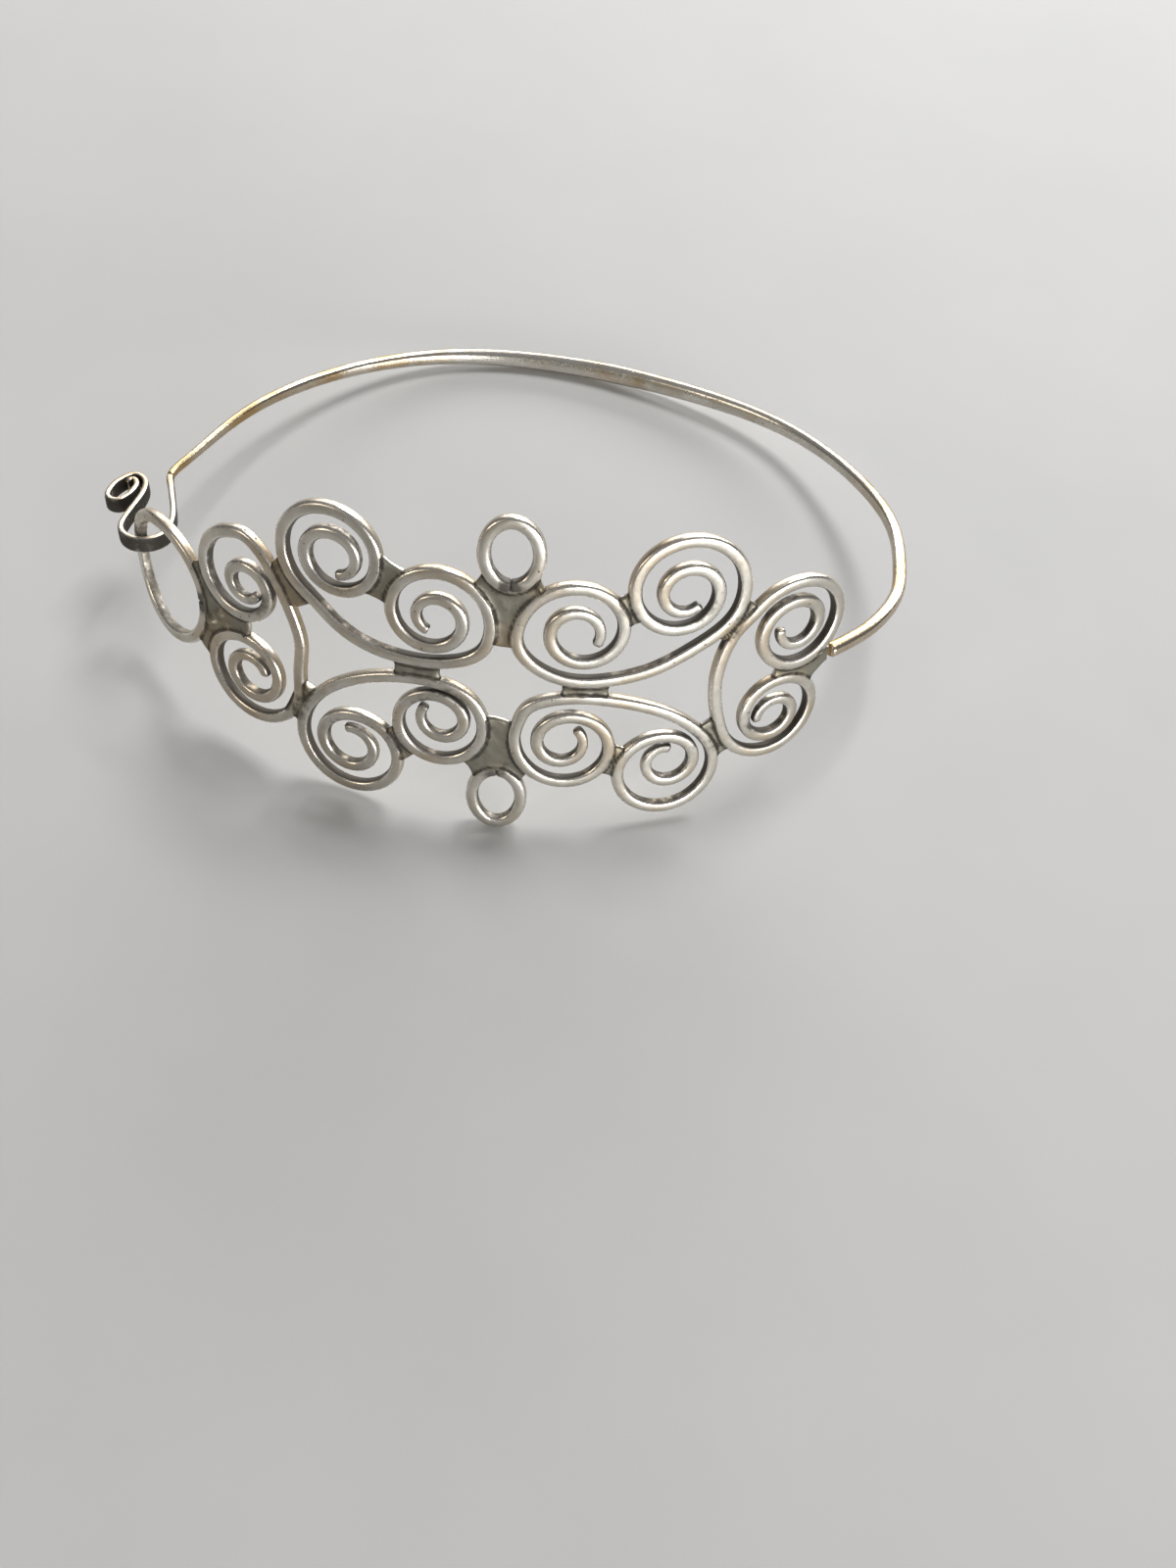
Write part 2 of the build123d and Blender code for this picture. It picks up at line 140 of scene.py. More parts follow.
# outline of each web: corner, middle, corner, middle and so on, each pair joined by an arc
WEBS = {
    "upper_left_web": [(-9.75, 10.3), (-8.35, 8.95), (-7.0, 8.45), (-8.15, 7.1),
                       (-8.5, 5.3), (-9.55, 5.75), (-10.9, 6.15), (-9.45, 8.2)],
    "upper_right_web": [(7.0, 7.6), (7.9, 7.85), (9.0, 8.6), (9.15, 7.2),
                        (10.2, 5.9), (9.3, 5.6), (8.4, 5.0), (8.15, 6.5)],
    "lower_left_web": [(-10.2, -5.95), (-9.1, -5.9), (-8.3, -5.2), (-8.2, -6.3),
                       (-6.9, -7.9), (-7.7, -8.7), (-8.6, -9.3), (-8.9, -7.6)],
    "lower_right_web": [(8.2, -5.4), (8.9, -5.75), (9.9, -6.1), (9.2, -7.3),
                        (8.85, -9.0), (8.1, -8.6), (7.0, -8.4), (8.05, -7.0)],
    "top_web": [(-2.9, 7.9), (-2.3, 8.5), (-1.75, 9.6), (0.15, 8.25),
                (2.05, 9.6), (2.4, 8.7), (3.0, 7.8), (1.25, 6.0),
                (0.7, 3.2), (-0.25, 3.1), (-1.3, 3.3), (-1.35, 6.0)],
    "bottom_web": [(-1.75, -3.5), (-0.6, -3.4), (0.65, -3.9), (0.75, -6.0),
                   (2.2, -8.5), (1.7, -9.0), (1.3, -10.2), (-0.5, -8.7),
                   (-2.35, -10.2), (-2.6, -8.9), (-3.4, -7.9), (-1.9, -6.0)],
    "middle_left_web": [(-8.8, 1.15), (-6.5, 0.95), (-4.4, 1.15), (-4.95, 0.15),
                        (-4.2, -1.0), (-6.5, -0.75), (-8.9, -0.95), (-8.45, 0.2)],
    "middle_right_web": [(3.8, 0.65), (5.8, 0.45), (8.6, 0.75), (7.7, -0.4),
                         (8.3, -1.4), (6.0, -1.15), (3.6, -1.35), (4.2, -0.35)],
    "right_upper_web": [(16.95, 7.6), (17.85, 6.9), (18.7, 6.35), (17.5, 5.0),
                        (16.6, 3.4), (16.0, 3.75), (14.9, 4.0), (16.2, 5.6)],
    "right_lower_web": [(14.7, -4.3), (15.6, -3.9), (16.5, -3.2), (17.2, -5.0),
                        (18.4, -6.7), (17.6, -7.1), (16.9, -7.8), (16.2, -6.0)],
    "left_upper_web": [(-18.2, 6.3), (-17.6, 7.0), (-16.9, 7.9), (-16.4, 6.4),
                       (-14.6, 4.2), (-15.7, 3.6), (-16.9, 3.2), (-17.6, 5.0)],
    "left_lower_web": [(-16.5, -3.2), (-15.7, -3.5), (-14.6, -4.1), (-16.0, -6.0),
                       (-16.6, -7.9), (-17.2, -7.3), (-18.3, -7.0), (-17.3, -5.0)],
    "left_end_web": [(-24.2, 4.4), (-25.1, 4.3), (-26.1, 3.8), (-25.25, 0.6),
                     (-26.5, -2.9), (-25.8, -4.1), (-24.7, -4.4), (-23.2, -1.5),
                     (-20.9, -1.05), (-20.6, -0.1), (-20.8, 1.0), (-23.3, 1.9)],
    "right_end_web": [(20.9, 0.75), (22.6, 0.45), (24.9, 1.5), (25.5, 1.2),
                      (25.9, 1.1), (25.8, 0.5), (25.9, -0.1), (25.1, -0.75),
                      (24.3, -1.9), (22.6, -0.75), (20.6, -1.0), (20.85, -0.1)],
}

# solder left standing on the webs: arc, height, radius, rise
NUGGETS = [
    (-24.3, -0.6, 0.45, 0.5), (-23.4, 0.3, 0.4, 0.35), (-20.9, -1.0, 0.35, 0.3), (-15.7, 3.4, 0.35, 0.35),
    (-15.5, -3.6, 0.4, 0.4), (15.4, -3.7, 0.35, 0.3), (24.6, 1.3, 0.4, 0.35), (4.0, -0.5, 0.3, 0.25),
    (2.3, 8.5, 0.35, 0.3),
]

# ---- placing things ----
PLAN_ANGLE = np.linspace(pi, 2 * pi, 4001)
PLAN_POINTS = np.stack([RING_HALF_WIDTH * np.cos(PLAN_ANGLE), RING_FRONT * np.sin(PLAN_ANGLE)], axis=1)
PLAN_LENGTH = np.append(0, np.cumsum(np.linalg.norm(np.diff(PLAN_POINTS, axis=0), axis=1)))


def face_frames(arcs, heights):
    """Points on the plaque's middle surface, and the outward normal at each."""
    distance = PLAN_LENGTH[-1] / 2 + np.asarray(arcs, float) + PLAQUE_OFFSET
    angle = np.interp(distance, PLAN_LENGTH, PLAN_ANGLE)
    cosine, sine = np.cos(angle), np.sin(angle)
    heights = np.asarray(heights, float)
    spots = np.stack([RING_HALF_WIDTH * cosine, RING_FRONT * sine, heights], axis=1)
    outs = np.stack([RING_FRONT * cosine, RING_HALF_WIDTH * sine, np.zeros(len(angle))], axis=1)
    return spots, outs / np.linalg.norm(outs, axis=1, keepdims=True)


HINGE = face_frames([HINGE_ARC], [HINGE_Z])[0][0]
HINGE_IN_ROW = np.array(frame["joints"][0]["pos_m"])
TILT = np.array(Matrix.Rotation(-LEAN, 3, "X") @ Matrix.Rotation(ROLL, 3, "Y"))


def to_row(points):
    return HINGE_IN_ROW + (np.asarray(points, float) - HINGE) @ TILT.T * MM


def turn_to_row(direction):
    return TILT @ np.asarray(direction, float)


def in_band_plane(points):
    points = np.asarray(points, float)
    climb = BAND_RISE * (points[:, 1] - HINGE[1]) + BAND_SLANT * (HINGE[0] - points[:, 0])
    return np.column_stack([points, HINGE_Z + climb])


# ---- lines ----
def smooth_line(points, step):
    """Cubic spline through the points, sampled about every step."""
    points = np.asarray(points, float)
    gaps = np.linalg.norm(np.diff(points, axis=0), axis=1)
    at = np.append(0, np.cumsum(gaps))
    slopes = np.diff(points, axis=0) / gaps[:, None]
    count = len(points)
    system, right = np.eye(count), np.zeros_like(points)
    for i in range(1, count - 1):
        system[i, i - 1:i + 2] = gaps[i - 1], 2 * (gaps[i - 1] + gaps[i]), gaps[i]
        right[i] = 6 * (slopes[i] - slopes[i - 1])
    bend = np.linalg.solve(system, right)
    where = np.linspace(0, at[-1], ceil(at[-1] / step) + 1)
    i = np.clip(np.searchsorted(at, where, "right") - 1, 0, count - 2)
    gap, after = gaps[i][:, None], (where - at[i])[:, None]
    before = gap - after
    return (
        bend[i] * before ** 3 / (6 * gap) + bend[i + 1] * after ** 3 / (6 * gap)
        + (points[i] / gap - bend[i] * gap / 6) * before
        + (points[i + 1] / gap - bend[i + 1] * gap / 6) * after
    )


def spiral_points(spiral):
    steps = round(abs(spiral.turn) / STEP_ANGLE)
    share = np.arange(steps + 1) / steps
    angle = np.radians(spiral.start + spiral.turn * share)
    radius = spiral.core + (spiral.rim - spiral.core) * share ** spiral.growth
    return np.stack([
        spiral.centre[0] + spiral.shift[0] * share + radius * np.cos(angle),
        spiral.centre[1] + spiral.shift[1] * share + radius * np.sin(angle),
    ], axis=1)


def scroll_line(inner, back, outer):
    return smooth_line(np.vstack([spiral_points(inner), back, spiral_points(outer)[::-1]]), WIRE_STEP)


def loop_line(loop):
    """A loop's wire, from half a degree after its butt joint to half a degree before it."""
    angle = np.radians(loop.joint + np.linspace(0.5, 359.5, LOOP_POINTS))
    return smooth_line(np.stack([
        loop.centre[0] + loop.half_width * np.cos(angle),
        loop.centre[1] + loop.half_height * np.sin(angle),
    ], axis=1), WIRE_STEP)


def band_and_hook_points():
    start = atan2(HINGE[1] / RING_FRONT, HINGE[0] / RING_HALF_WIDTH)
    angle = start * (1 - np.arange(OVAL_STEPS + 1) / OVAL_STEPS)
    oval = np.stack([RING_HALF_WIDTH * np.cos(angle), RING_FRONT * np.sin(angle)], axis=1)
    eye_angle = -np.radians(np.arange(0, 180 + STEP_ANGLE, STEP_ANGLE))
    eye = np.stack([
        HOOK_EYE[0] + HOOK_RADIUS * np.cos(eye_angle),
        HOOK_EYE[1] + HOOK_RADIUS * np.sin(eye_angle),
    ], axis=1)
    return np.vstack([oval, BAND_LINE]), np.vstack([HOOK_LEG, eye, HOOK_CURL])


# ---- wire meshes ----
def wobble(seed, where, size):
    """Slow unevenness along a length, from -1 to 1."""
    return np.array([noise.noise(Vector((w / size, seed * 7.31, 0.5))) for w in where])


def swept_wire(name, spots, outs, widths, depths, squareness, seed, lumps=WIRE_LUMPS):
    """Mesh of a wire with a soft-edged section: width across outs, depth along outs."""
    along = np.gradient(spots, axis=0)
    along /= np.linalg.norm(along, axis=1, keepdims=True)
    side = np.cross(along, outs)
    side /= np.linalg.norm(side, axis=1, keepdims=True)
    up = np.cross(side, along)
    length = np.append(0, np.cumsum(np.linalg.norm(np.diff(spots, axis=0), axis=1)))
    turn = np.linspace(0, 2 * pi, AROUND, endpoint=False)
    power = 2 / squareness
    across = np.sign(np.cos(turn)) * np.abs(np.cos(turn)) ** power / 2
    outward = np.sign(np.sin(turn)) * np.abs(np.sin(turn)) ** power / 2
    # the rings are drawn in towards the cut ends
    end = np.minimum(length, length[-1] - length)
    cut = np.clip(end / CUT_ROUND, 0, 1)
    shrink = 0.8 + 0.2 * np.sqrt(1 - (1 - cut) ** 2)
    widths = widths * shrink * (1 + lumps * wobble(seed, length, 2.3))
    depths = depths * shrink * (1 + lumps * wobble(seed + 0.5, length, 3.1))
    rings = (
        spots[:, None] + side[:, None] * (across[None, :, None] * widths[:, None, None])
        + up[:, None] * (outward[None, :, None] * depths[:, None, None])
    )
    count = len(spots)
    faces = []
    for first in range(0, (count - 1) * AROUND, AROUND):
        for j in range(AROUND):
            after = (j + 1) % AROUND
            faces.append((first + j, first + after, first + AROUND + after, first + AROUND + j))
    faces.append(tuple(range(AROUND))[::-1])
    faces.append(tuple(range((count - 1) * AROUND, count * AROUND)))
    # a scroll or a loop bends one way along its whole length, so one side of it is the inner wall
    bend = np.sign(np.einsum("ij,ij->i", np.gradient(along, axis=0), side).sum())
    # facing marks the side walls, where the material paints shade; inner marks the inner wall, which gets
    # painted shade too; edge marks the rounded corners, painted lighter as wear and highlight
    return new_mesh(name, rings.reshape(-1, 3), faces, {
        "facing": np.tile(np.sin(turn), count),
        "edge": np.tile(np.abs(np.sin(2 * turn)), count),
        "inner": np.tile(np.clip(bend * np.cos(turn), 0, 1), count),
        "share": np.repeat(length / length[-1], AROUND),
    })


def new_mesh(name, points, faces, attributes):
    mesh = bpy.data.meshes.new(name)
    mesh.from_pydata(to_row(points).tolist(), [], faces)
    for key, values in attributes.items():
        attribute = mesh.attributes.new(key, "FLOAT", "POINT")
        attribute.data.foreach_set("value", np.asarray(values, np.float32))
    mesh.polygons.foreach_set("use_smooth", [True] * len(mesh.polygons))
    mesh.validate()
    piece = bpy.data.objects.new(name, mesh)
    bpy.context.scene.collection.objects.link(piece)
    return piece


def tip_taper(line):
    length = np.append(0, np.cumsum(np.linalg.norm(np.diff(line, axis=0), axis=1)))
    end = np.minimum(length, length[-1] - length)
    return TIP_SHARE + (1 - TIP_SHARE) * np.clip(end / TIP_LENGTH, 0, 1)


def plaque_wire(name, line, taper, seed):
    spots, outs = face_frames(line[:, 0], line[:, 1])
    widths, depths = SCROLL_WIRE * taper, SCROLL_DEPTH * taper
    return swept_wire(name, spots, outs, widths, depths, PLAQUE_SQUARENESS, seed)


# ---- web meshes, mm ----
OUTLINE_STEP = 0.1            # between the points of a web's outline
ON_OUTLINE = 1e-4             # a point this near to the outline is on it
EDGE_ROUND = 0.3              # rounding of a web's free edges
EDGE_WEAR_AND_HIGHLIGHT = 0.12              # how far the rubbed edge, painted lighter as wear and as highlight, reaches in
GRID = 0.16                   # between the points inside a web
GRID_CLEAR = 0.3              # those points' least distance from the outline
# rows of points beside the outline: how deep each lies, and its least distance from any part of it
ROWS = [(0.03, 0.025), (0.08, 0.07), (0.15, 0.14), (0.24, 0.23)]
FLOW_START, FLOW_REACH = 0.42, 0.16    # where solder climbs a wire, from the wire's centre line
FLOW_RISE, HOLLOW = 0.06, 0.05
RIPPLE, RIPPLES_PER_MM = 0.03, 1.3
SEAM_REACH = 0.09             # how far the oxide reaches from the side of a wire


def arc_between(first, middle, last, step):
    """Points of the circle through three points, from the first up to but not the last."""
    first, middle, last = (np.array(p, float) for p in (first, middle, last))
    a, b = middle - first, last - first
    cross = 2 * (a[0] * b[1] - a[1] * b[0])
    centre = first + np.array([b[1] * (a @ a) - a[1] * (b @ b), a[0] * (b @ b) - b[0] * (a @ a)]) / cross
    radius = np.linalg.norm(first - centre)
    start, end = (atan2(*(p - centre)[::-1]) for p in (first, last))
    sweep = (end - start) % (2 * pi)
    if cross < 0:
        sweep -= 2 * pi
    count = max(2, ceil(abs(sweep) * radius / step))
    angle = start + sweep * np.arange(count) / count
    return centre + radius * np.stack([np.cos(angle), np.sin(angle)], axis=1)


def outline_of(web):
    corners = web + [web[0]]
    return np.vstack([
        arc_between(corners[i - 2], corners[i - 1], corners[i], OUTLINE_STEP)
        for i in range(2, len(corners), 2)
    ])


def distance_to_line(points, line):
    """Distance from each point to a closed line."""
    best = np.full(len(points), 1e9)
    for a, b in zip(line, np.roll(line, -1, axis=0)):
        share = np.clip((points - a) @ (b - a) / ((b - a) @ (b - a)), 0, 1)
        best = np.minimum(best, np.linalg.norm(points - a - share[:, None] * (b - a), axis=1))
    return best


def inside(points, line):
    result = np.zeros(len(points), bool)
    for a, b in zip(line, np.roll(line, -1, axis=0)):
        crosses = (a[1] > points[:, 1]) != (b[1] > points[:, 1])
        rise = b[1] - a[1] if b[1] != a[1] else 1
        result ^= crosses & (points[:, 0] < (b[0] - a[0]) * (points[:, 1] - a[1]) / rise + a[0])
    return result


def web_plate(name, web, wire_tree, seed):
    outline = outline_of(web)
    low, high = outline.min(0), outline.max(0)
    columns, rows = np.arange(low[0], high[0], GRID), np.arange(low[1], high[1], GRID)
    grid = np.stack(np.meshgrid(columns, rows), axis=2).reshape(-1, 2)
    normal = np.roll(outline, -1, axis=0) - np.roll(outline, 1, axis=0)
    length = np.linalg.norm(normal, axis=1, keepdims=True)
    normal = np.stack([-normal[:, 1], normal[:, 0]], axis=1) / length
    candidates = [(grid, GRID_CLEAR)] + [
        (outline + way * normal * depth, least) for depth, least in ROWS for way in (-1, 1)]
    kept = [outline]
    for points, least in candidates:
        points = points[inside(points, outline)]
        kept.append(points[distance_to_line(points, outline) > least])
    flat = np.vstack(kept)
    ring = [(i, (i + 1) % len(outline)) for i in range(len(outline))]
    flat, _, triangles, *_ = delaunay_2d_cdt([Vector(p) for p in flat], ring, [], 1, 1e-6)
    flat = np.array([tuple(p) for p in flat])
    gap = distance_to_line(flat, outline)
    rim = gap < ON_OUTLINE
    round_share = np.sqrt(1 - (1 - np.clip(gap / EDGE_ROUND, 0, 1)) ** 2)
    middle = (WEB_FRONT + WEB_BACK) / 2
    to_wire = np.array([wire_tree.find((x, y, 0))[2] for x, y in flat])
    flow = np.exp(-np.clip(to_wire - FLOW_START, 0, None) / FLOW_REACH)
    rough = np.array([
        noise.noise(Vector((x * RIPPLES_PER_MM, y * RIPPLES_PER_MM, seed))) for x, y in flat])
    front = WEB_FRONT + FLOW_RISE * flow - HOLLOW * (1 - flow) + RIPPLE * rough
    for arc, height, radius, rise in NUGGETS:
        away = np.hypot(flat[:, 0] - arc, flat[:, 1] - height)
        front += rise * np.exp(-(away / radius) ** 3)
    front = middle + (front - middle) * round_share
    back = middle + (WEB_BACK + HOLLOW * (1 - flow) - middle) * round_share
    count = len(flat)
    spots, outs = face_frames(flat[:, 0], flat[:, 1])
    under = np.arange(count) + count
    under[rim] = np.arange(count)[rim]
    faces = [tuple(t) for t in triangles]
    faces += [tuple(int(under[i]) for i in t[::-1]) for t in triangles]
    used = sorted(set(i for face in faces for i in face))
    renumber = {old: new for new, old in enumerate(used)}
    points = np.vstack([spots + outs * front[:, None], spots + outs * back[:, None]])
    # the normals of the front triangles point out of the plaque
    a, b, c = (points[i] for i in faces[0])
    if np.cross(b - a, c - a) @ outs[faces[0][0]] < 0:
        faces = [face[::-1] for face in faces]
    crevice = np.exp(-np.abs(to_wire - SCROLL_WIRE / 2) / SEAM_REACH)
    both = {
        "facing": np.append(np.ones(count), -np.ones(count)),
        "edge": np.tile(np.exp(-gap / EDGE_WEAR_AND_HIGHLIGHT), 2),
        "crevice": np.tile(crevice, 2),
    }
    return new_mesh(
        name, points[used], [tuple(renumber[i] for i in face) for face in faces],
        {key: values[used] for key, values in both.items()})


# ---- oxidation: how hidden each point of a wire is, mm ----
CREVICE_SEARCH = 2.2          # how far the search for a neighbour goes
OWN_STRETCH = 3.0             # a wire's own stretch that is no neighbour of itself
CREVICE_END, CREVICE_FADE = 1.9, 1.3


def mark_crevices(pieces, centre_lines):
    """Writes a crevice value on each wire: high where another turn or another wire runs close by."""
    samples = [(name, i, spot) for name, spots in centre_lines.items() for i, spot in enumerate(spots)]
    tree = KDTree(len(samples))
    for index, (_, _, spot) in enumerate(samples):
        tree.insert(spot, index)
    tree.balance()
    for name, piece in pieces.items():
        values = []
        for vertex, spot in enumerate(np.array([v.co for v in piece.data.vertices]) / MM):
            own = vertex // AROUND
            closest = CREVICE_SEARCH
            for _, index, distance in tree.find_range(spot, CREVICE_SEARCH):
                other, at, _ = samples[index]
                if other != name or abs(at - own) * WIRE_STEP > OWN_STRETCH:
                    closest = min(closest, distance)
            values.append(max(0.0, min(1.0, (CREVICE_END - closest) / CREVICE_FADE)))
        attribute = piece.data.attributes.new("crevice", "FLOAT", "POINT")
        attribute.data.foreach_set("value", np.asarray(values, np.float32))


# ---- silver ----
class Nodes:
    """Short way to add and link shader nodes."""

    def __init__(self, material):
        material.use_nodes = True
        self.tree = material.node_tree
        self.shader = self.tree.nodes["Principled BSDF"]
        self.place = self.add("ShaderNodeTexCoord").outputs["Object"]

    def add(self, kind, inputs=(), **settings):
        node = self.tree.nodes.new(kind)
        for key, value in settings.items():
            setattr(node, key, value)
        for key, value in dict(inputs).items():
            self.put(node.inputs[key], value)
        return node

    def put(self, socket, value):
        if isinstance(value, bpy.types.NodeSocket):
            self.tree.links.new(value, socket)
        else:
            socket.default_value = value

    def noise(self, size_mm, detail=4.0, stretch=(1, 1, 1), rough=0.6):
        place = self.place
        if stretch != (1, 1, 1):
            place = self.add("ShaderNodeMapping", {"Vector": place, "Scale": stretch}).outputs[0]
        return self.add("ShaderNodeTexNoise", {
            "Vector": place, "Scale": 1 / (size_mm * MM), "Detail": detail, "Roughness": rough,
        }).outputs["Fac"]

    def attribute(self, name):
        return self.add("ShaderNodeAttribute", attribute_name=name).outputs["Fac"]

    def math(self, operation, a, b=0.0, clamp=False):
        node = self.add("ShaderNodeMath", operation=operation, use_clamp=clamp)
        self.put(node.inputs[0], a)
        self.put(node.inputs[1], b)
        return node.outputs[0]

    def steps(self, value, low, high, to_low=0.0, to_high=1.0):
        return self.add("ShaderNodeMapRange", {
            "Value": value, "From Min": low, "From Max": high, "To Min": to_low, "To Max": to_high},
            interpolation_type="SMOOTHSTEP").outputs["Result"]

    def mix(self, share, a, b):
        node = self.add("ShaderNodeMix", data_type="RGBA")
        self.put(node.inputs["Factor"], share)
        self.put(node.inputs["A"], a)
        self.put(node.inputs["B"], b)
        return node.outputs["Result"]


CLEAN = (0.74, 0.71, 0.65, 1)
GREYED = (0.33, 0.31, 0.265, 1)
DULL = (0.20, 0.19, 0.155, 1)
GOLDEN = (0.40, 0.27, 0.12, 1)
OXIDE_AND_SHADE = (0.018, 0.014, 0.010, 1)


def silver(name, grey, golden, oxide_and_shade_share, rough, scratch=0.5, wall_shade_and_oxide=0.3, inner_wall_shade_and_oxide=0.0, faces=0.0,
           golden_ends=0.0, greyed=GREYED):
    """Old worn silver, with painted shade on its side walls and inner walls and painted highlight on its
    rounded edges. The shares say how much of each kind of wear and of painted shade the piece has.
    """
    material = bpy.data.materials.new(name)
    n = Nodes(material)
    facing, edge, crevice = n.attribute("facing"), n.attribute("edge"), n.attribute("crevice")
    clouds, spots, grain = n.noise(3.2, 5), n.noise(0.9, 6), n.noise(0.22, 8)
    # the rounded edges, lighter as rubbed wear and as painted highlight
    rubbed_and_highlit = n.steps(n.math("ADD", edge, n.math("MULTIPLY", n.math("SUBTRACT", spots, 0.5), 0.7)), 0.55, 0.98)
    # the side walls of a wire, painted greyer, browner and darker as shade
    shaded_sides = n.steps(n.math("ABSOLUTE", facing), 0.72, 0.4)
    # the inner wall of a curl, painted darker as shade along with the oxide in that hollow
    shaded_inner_side = n.steps(n.attribute("inner"), 0.6, 0.85)
    # grey tarnish lies in soft clouds, with more on the side walls as painted shade, and thinner on the
    # rounded edges, which are rubbed and painted lighter as highlight
    grey_mask = n.math("ADD", n.steps(clouds, 0.32, 0.68, 0.35, 1.0), n.math("MULTIPLY", shaded_sides, 0.25))
    face_middle = n.steps(n.math("ABSOLUTE", facing), 0.8, 1.0, 0.0, 0.3)
    grey_mask = n.math("ADD", grey_mask, face_middle)
    grey_mask = n.math("MULTIPLY", grey_mask, n.math("SUBTRACT", 1.0, n.math("MULTIPLY", rubbed_and_highlit, 0.75)))
    grey_mask = n.math("MULTIPLY", grey_mask, grey, clamp=True)
    # golden-brown tarnish in patches, with more on the side walls as painted shade
    gold_mask = n.math("ADD", n.steps(n.noise(5.5, 3), 0.42, 0.66), n.math("MULTIPLY", shaded_sides, 0.5))
    gold_mask = n.math("MULTIPLY", gold_mask, n.math("SUBTRACT", 1.0, n.math("MULTIPLY", rubbed_and_highlit, 0.5)))
    from_middle = n.math("ABSOLUTE", n.math("SUBTRACT", n.attribute("share"), 0.5))
    gold_mask = n.math("MULTIPLY", gold_mask, golden)
    at_ends = n.math("MULTIPLY", n.steps(from_middle, 0.15, 0.4), golden_ends)
    gold_mask = n.math("ADD", gold_mask, at_ends, clamp=True)
    # black oxide stays in the crevices and breaks up into spots; the black on the side walls and the inner
    # walls is painted shade
    oxide_and_shade = n.math("ADD", n.math("MULTIPLY", crevice, 0.8), n.math("MULTIPLY", shaded_sides, wall_shade_and_oxide))
    oxide_and_shade = n.math("ADD", oxide_and_shade, n.math("MULTIPLY", shaded_inner_side, inner_wall_shade_and_oxide))
    oxide_and_shade = n.math("ADD", oxide_and_shade, n.math("MULTIPLY", n.math("SUBTRACT", 1.0, shaded_sides), faces))
    oxide_and_shade = n.math("ADD", oxide_and_shade, n.math("MULTIPLY", n.math("SUBTRACT", spots, 0.5), 1.2))
    oxide_and_shade_mask = n.math("MULTIPLY", n.steps(oxide_and_shade, 0.4, 0.9), oxide_and_shade_share, clamp=True)
    pits = n.steps(n.add("ShaderNodeTexVoronoi", {
        "Vector": n.place, "Scale": 1 / (0.6 * MM), "Randomness": 1.0}).outputs["Distance"], 0.2, 0.06)
    pits = n.math("MULTIPLY", pits, n.steps(n.noise(1.6, 2), 0.53, 0.62))
    oxide_pits_and_shade = n.math("MAXIMUM", oxide_and_shade_mask, n.math("MULTIPLY", pits, 0.85))
    colour = n.mix(grey_mask, CLEAN, greyed)
    colour = n.mix(gold_mask, colour, GOLDEN)
    colour = n.mix(oxide_pits_and_shade, colour, OXIDE_AND_SHADE)
    n.put(n.shader.inputs["Base Color"], colour)
    n.put(n.shader.inputs["Metallic"], n.steps(oxide_pits_and_shade, 0.0, 1.0, 1.0, 0.5))
    roughness = n.math("ADD", n.math("MULTIPLY", grain, 0.16), rough - 0.08)
    roughness = n.math("ADD", roughness, n.math("MULTIPLY", grey_mask, 0.18))
    roughness = n.math("ADD", roughness, n.math("MULTIPLY", oxide_pits_and_shade, 0.3), clamp=True)
    n.put(n.shader.inputs["Roughness"], roughness)
    # fine scratches in two directions, over a soft unevenness from the hammer and the file
    lines = n.math("MAXIMUM", n.noise(0.5, 3, (1, 9, 2)), n.noise(0.5, 3, (7, 1, 5)))
    height = n.math("ADD", n.math("MULTIPLY", lines, 0.006 * scratch), n.math("MULTIPLY", spots, 0.035))
    height = n.math("ADD", height, n.math("MULTIPLY", oxide_pits_and_shade, -0.015))
    bump = n.add("ShaderNodeBump", {"Height": height, "Distance": MM, "Strength": 0.7})
    n.put(n.shader.inputs["Normal"], bump.outputs["Normal"])
    return material


MATERIALS = {
    "scroll_silver": silver(
        "scroll_silver", grey=0.7, golden=0.35, oxide_and_shade_share=0.9, rough=0.25, scratch=0.8,
        inner_wall_shade_and_oxide=0.5, faces=0.1),
    "loop_silver": silver(
        "loop_silver", grey=0.65, golden=0.3, oxide_and_shade_share=0.85, rough=0.25, scratch=0.8,
        inner_wall_shade_and_oxide=0.4, faces=0.12),
    "web_silver": silver(
        "web_silver", grey=1.3, golden=0.3, oxide_and_shade_share=0.9, rough=0.3, scratch=1.5,
        faces=0.4, greyed=DULL),
    "band_silver": silver("band_silver", grey=0.5, golden=0.6, oxide_and_shade_share=0.6, rough=0.2, golden_ends=0.45),
    "hook_silver": silver("hook_silver", grey=0.7, golden=0.4, oxide_and_shade_share=0.95, rough=0.27, wall_shade_and_oxide=0.1, faces=0.95),
}


def finish_piece(piece, node, slot):
    piece.data.materials.append(MATERIALS[slot])
    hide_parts(node)


# ---- building the bangle ----
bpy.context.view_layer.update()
lines = {name: scroll_line(*shape) for name, shape in SCROLLS.items()}
lines.update({name: loop_line(loop) for name, loop in LOOPS.items()})
wires = {}
for seed, (name, line) in enumerate(lines.items()):
    taper = tip_taper(line) if name in SCROLLS else np.ones(len(line))
    wires[name] = plaque_wire(name + "_wire", line, taper, seed)
mark_crevices(wires, {
    name: to_row(face_frames(line[:, 0], line[:, 1])[0]) / MM for name, line in lines.items()})
for name, piece in wires.items():
    finish_piece(piece, name, "scroll_silver" if name in SCROLLS else "loop_silver")
    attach(piece, "plaque")

flat_tree = KDTree(sum(len(line) for line in lines.values()))
for index, (x, y) in enumerate(np.vstack(list(lines.values()))):
    flat_tree.insert((x, y, 0), index)
flat_tree.balance()
for seed, (name, web) in enumerate(WEBS.items()):
    piece = web_plate(name + "_solder", web, flat_tree, seed)
    finish_piece(piece, name, "web_silver")
    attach(piece, "plaque")

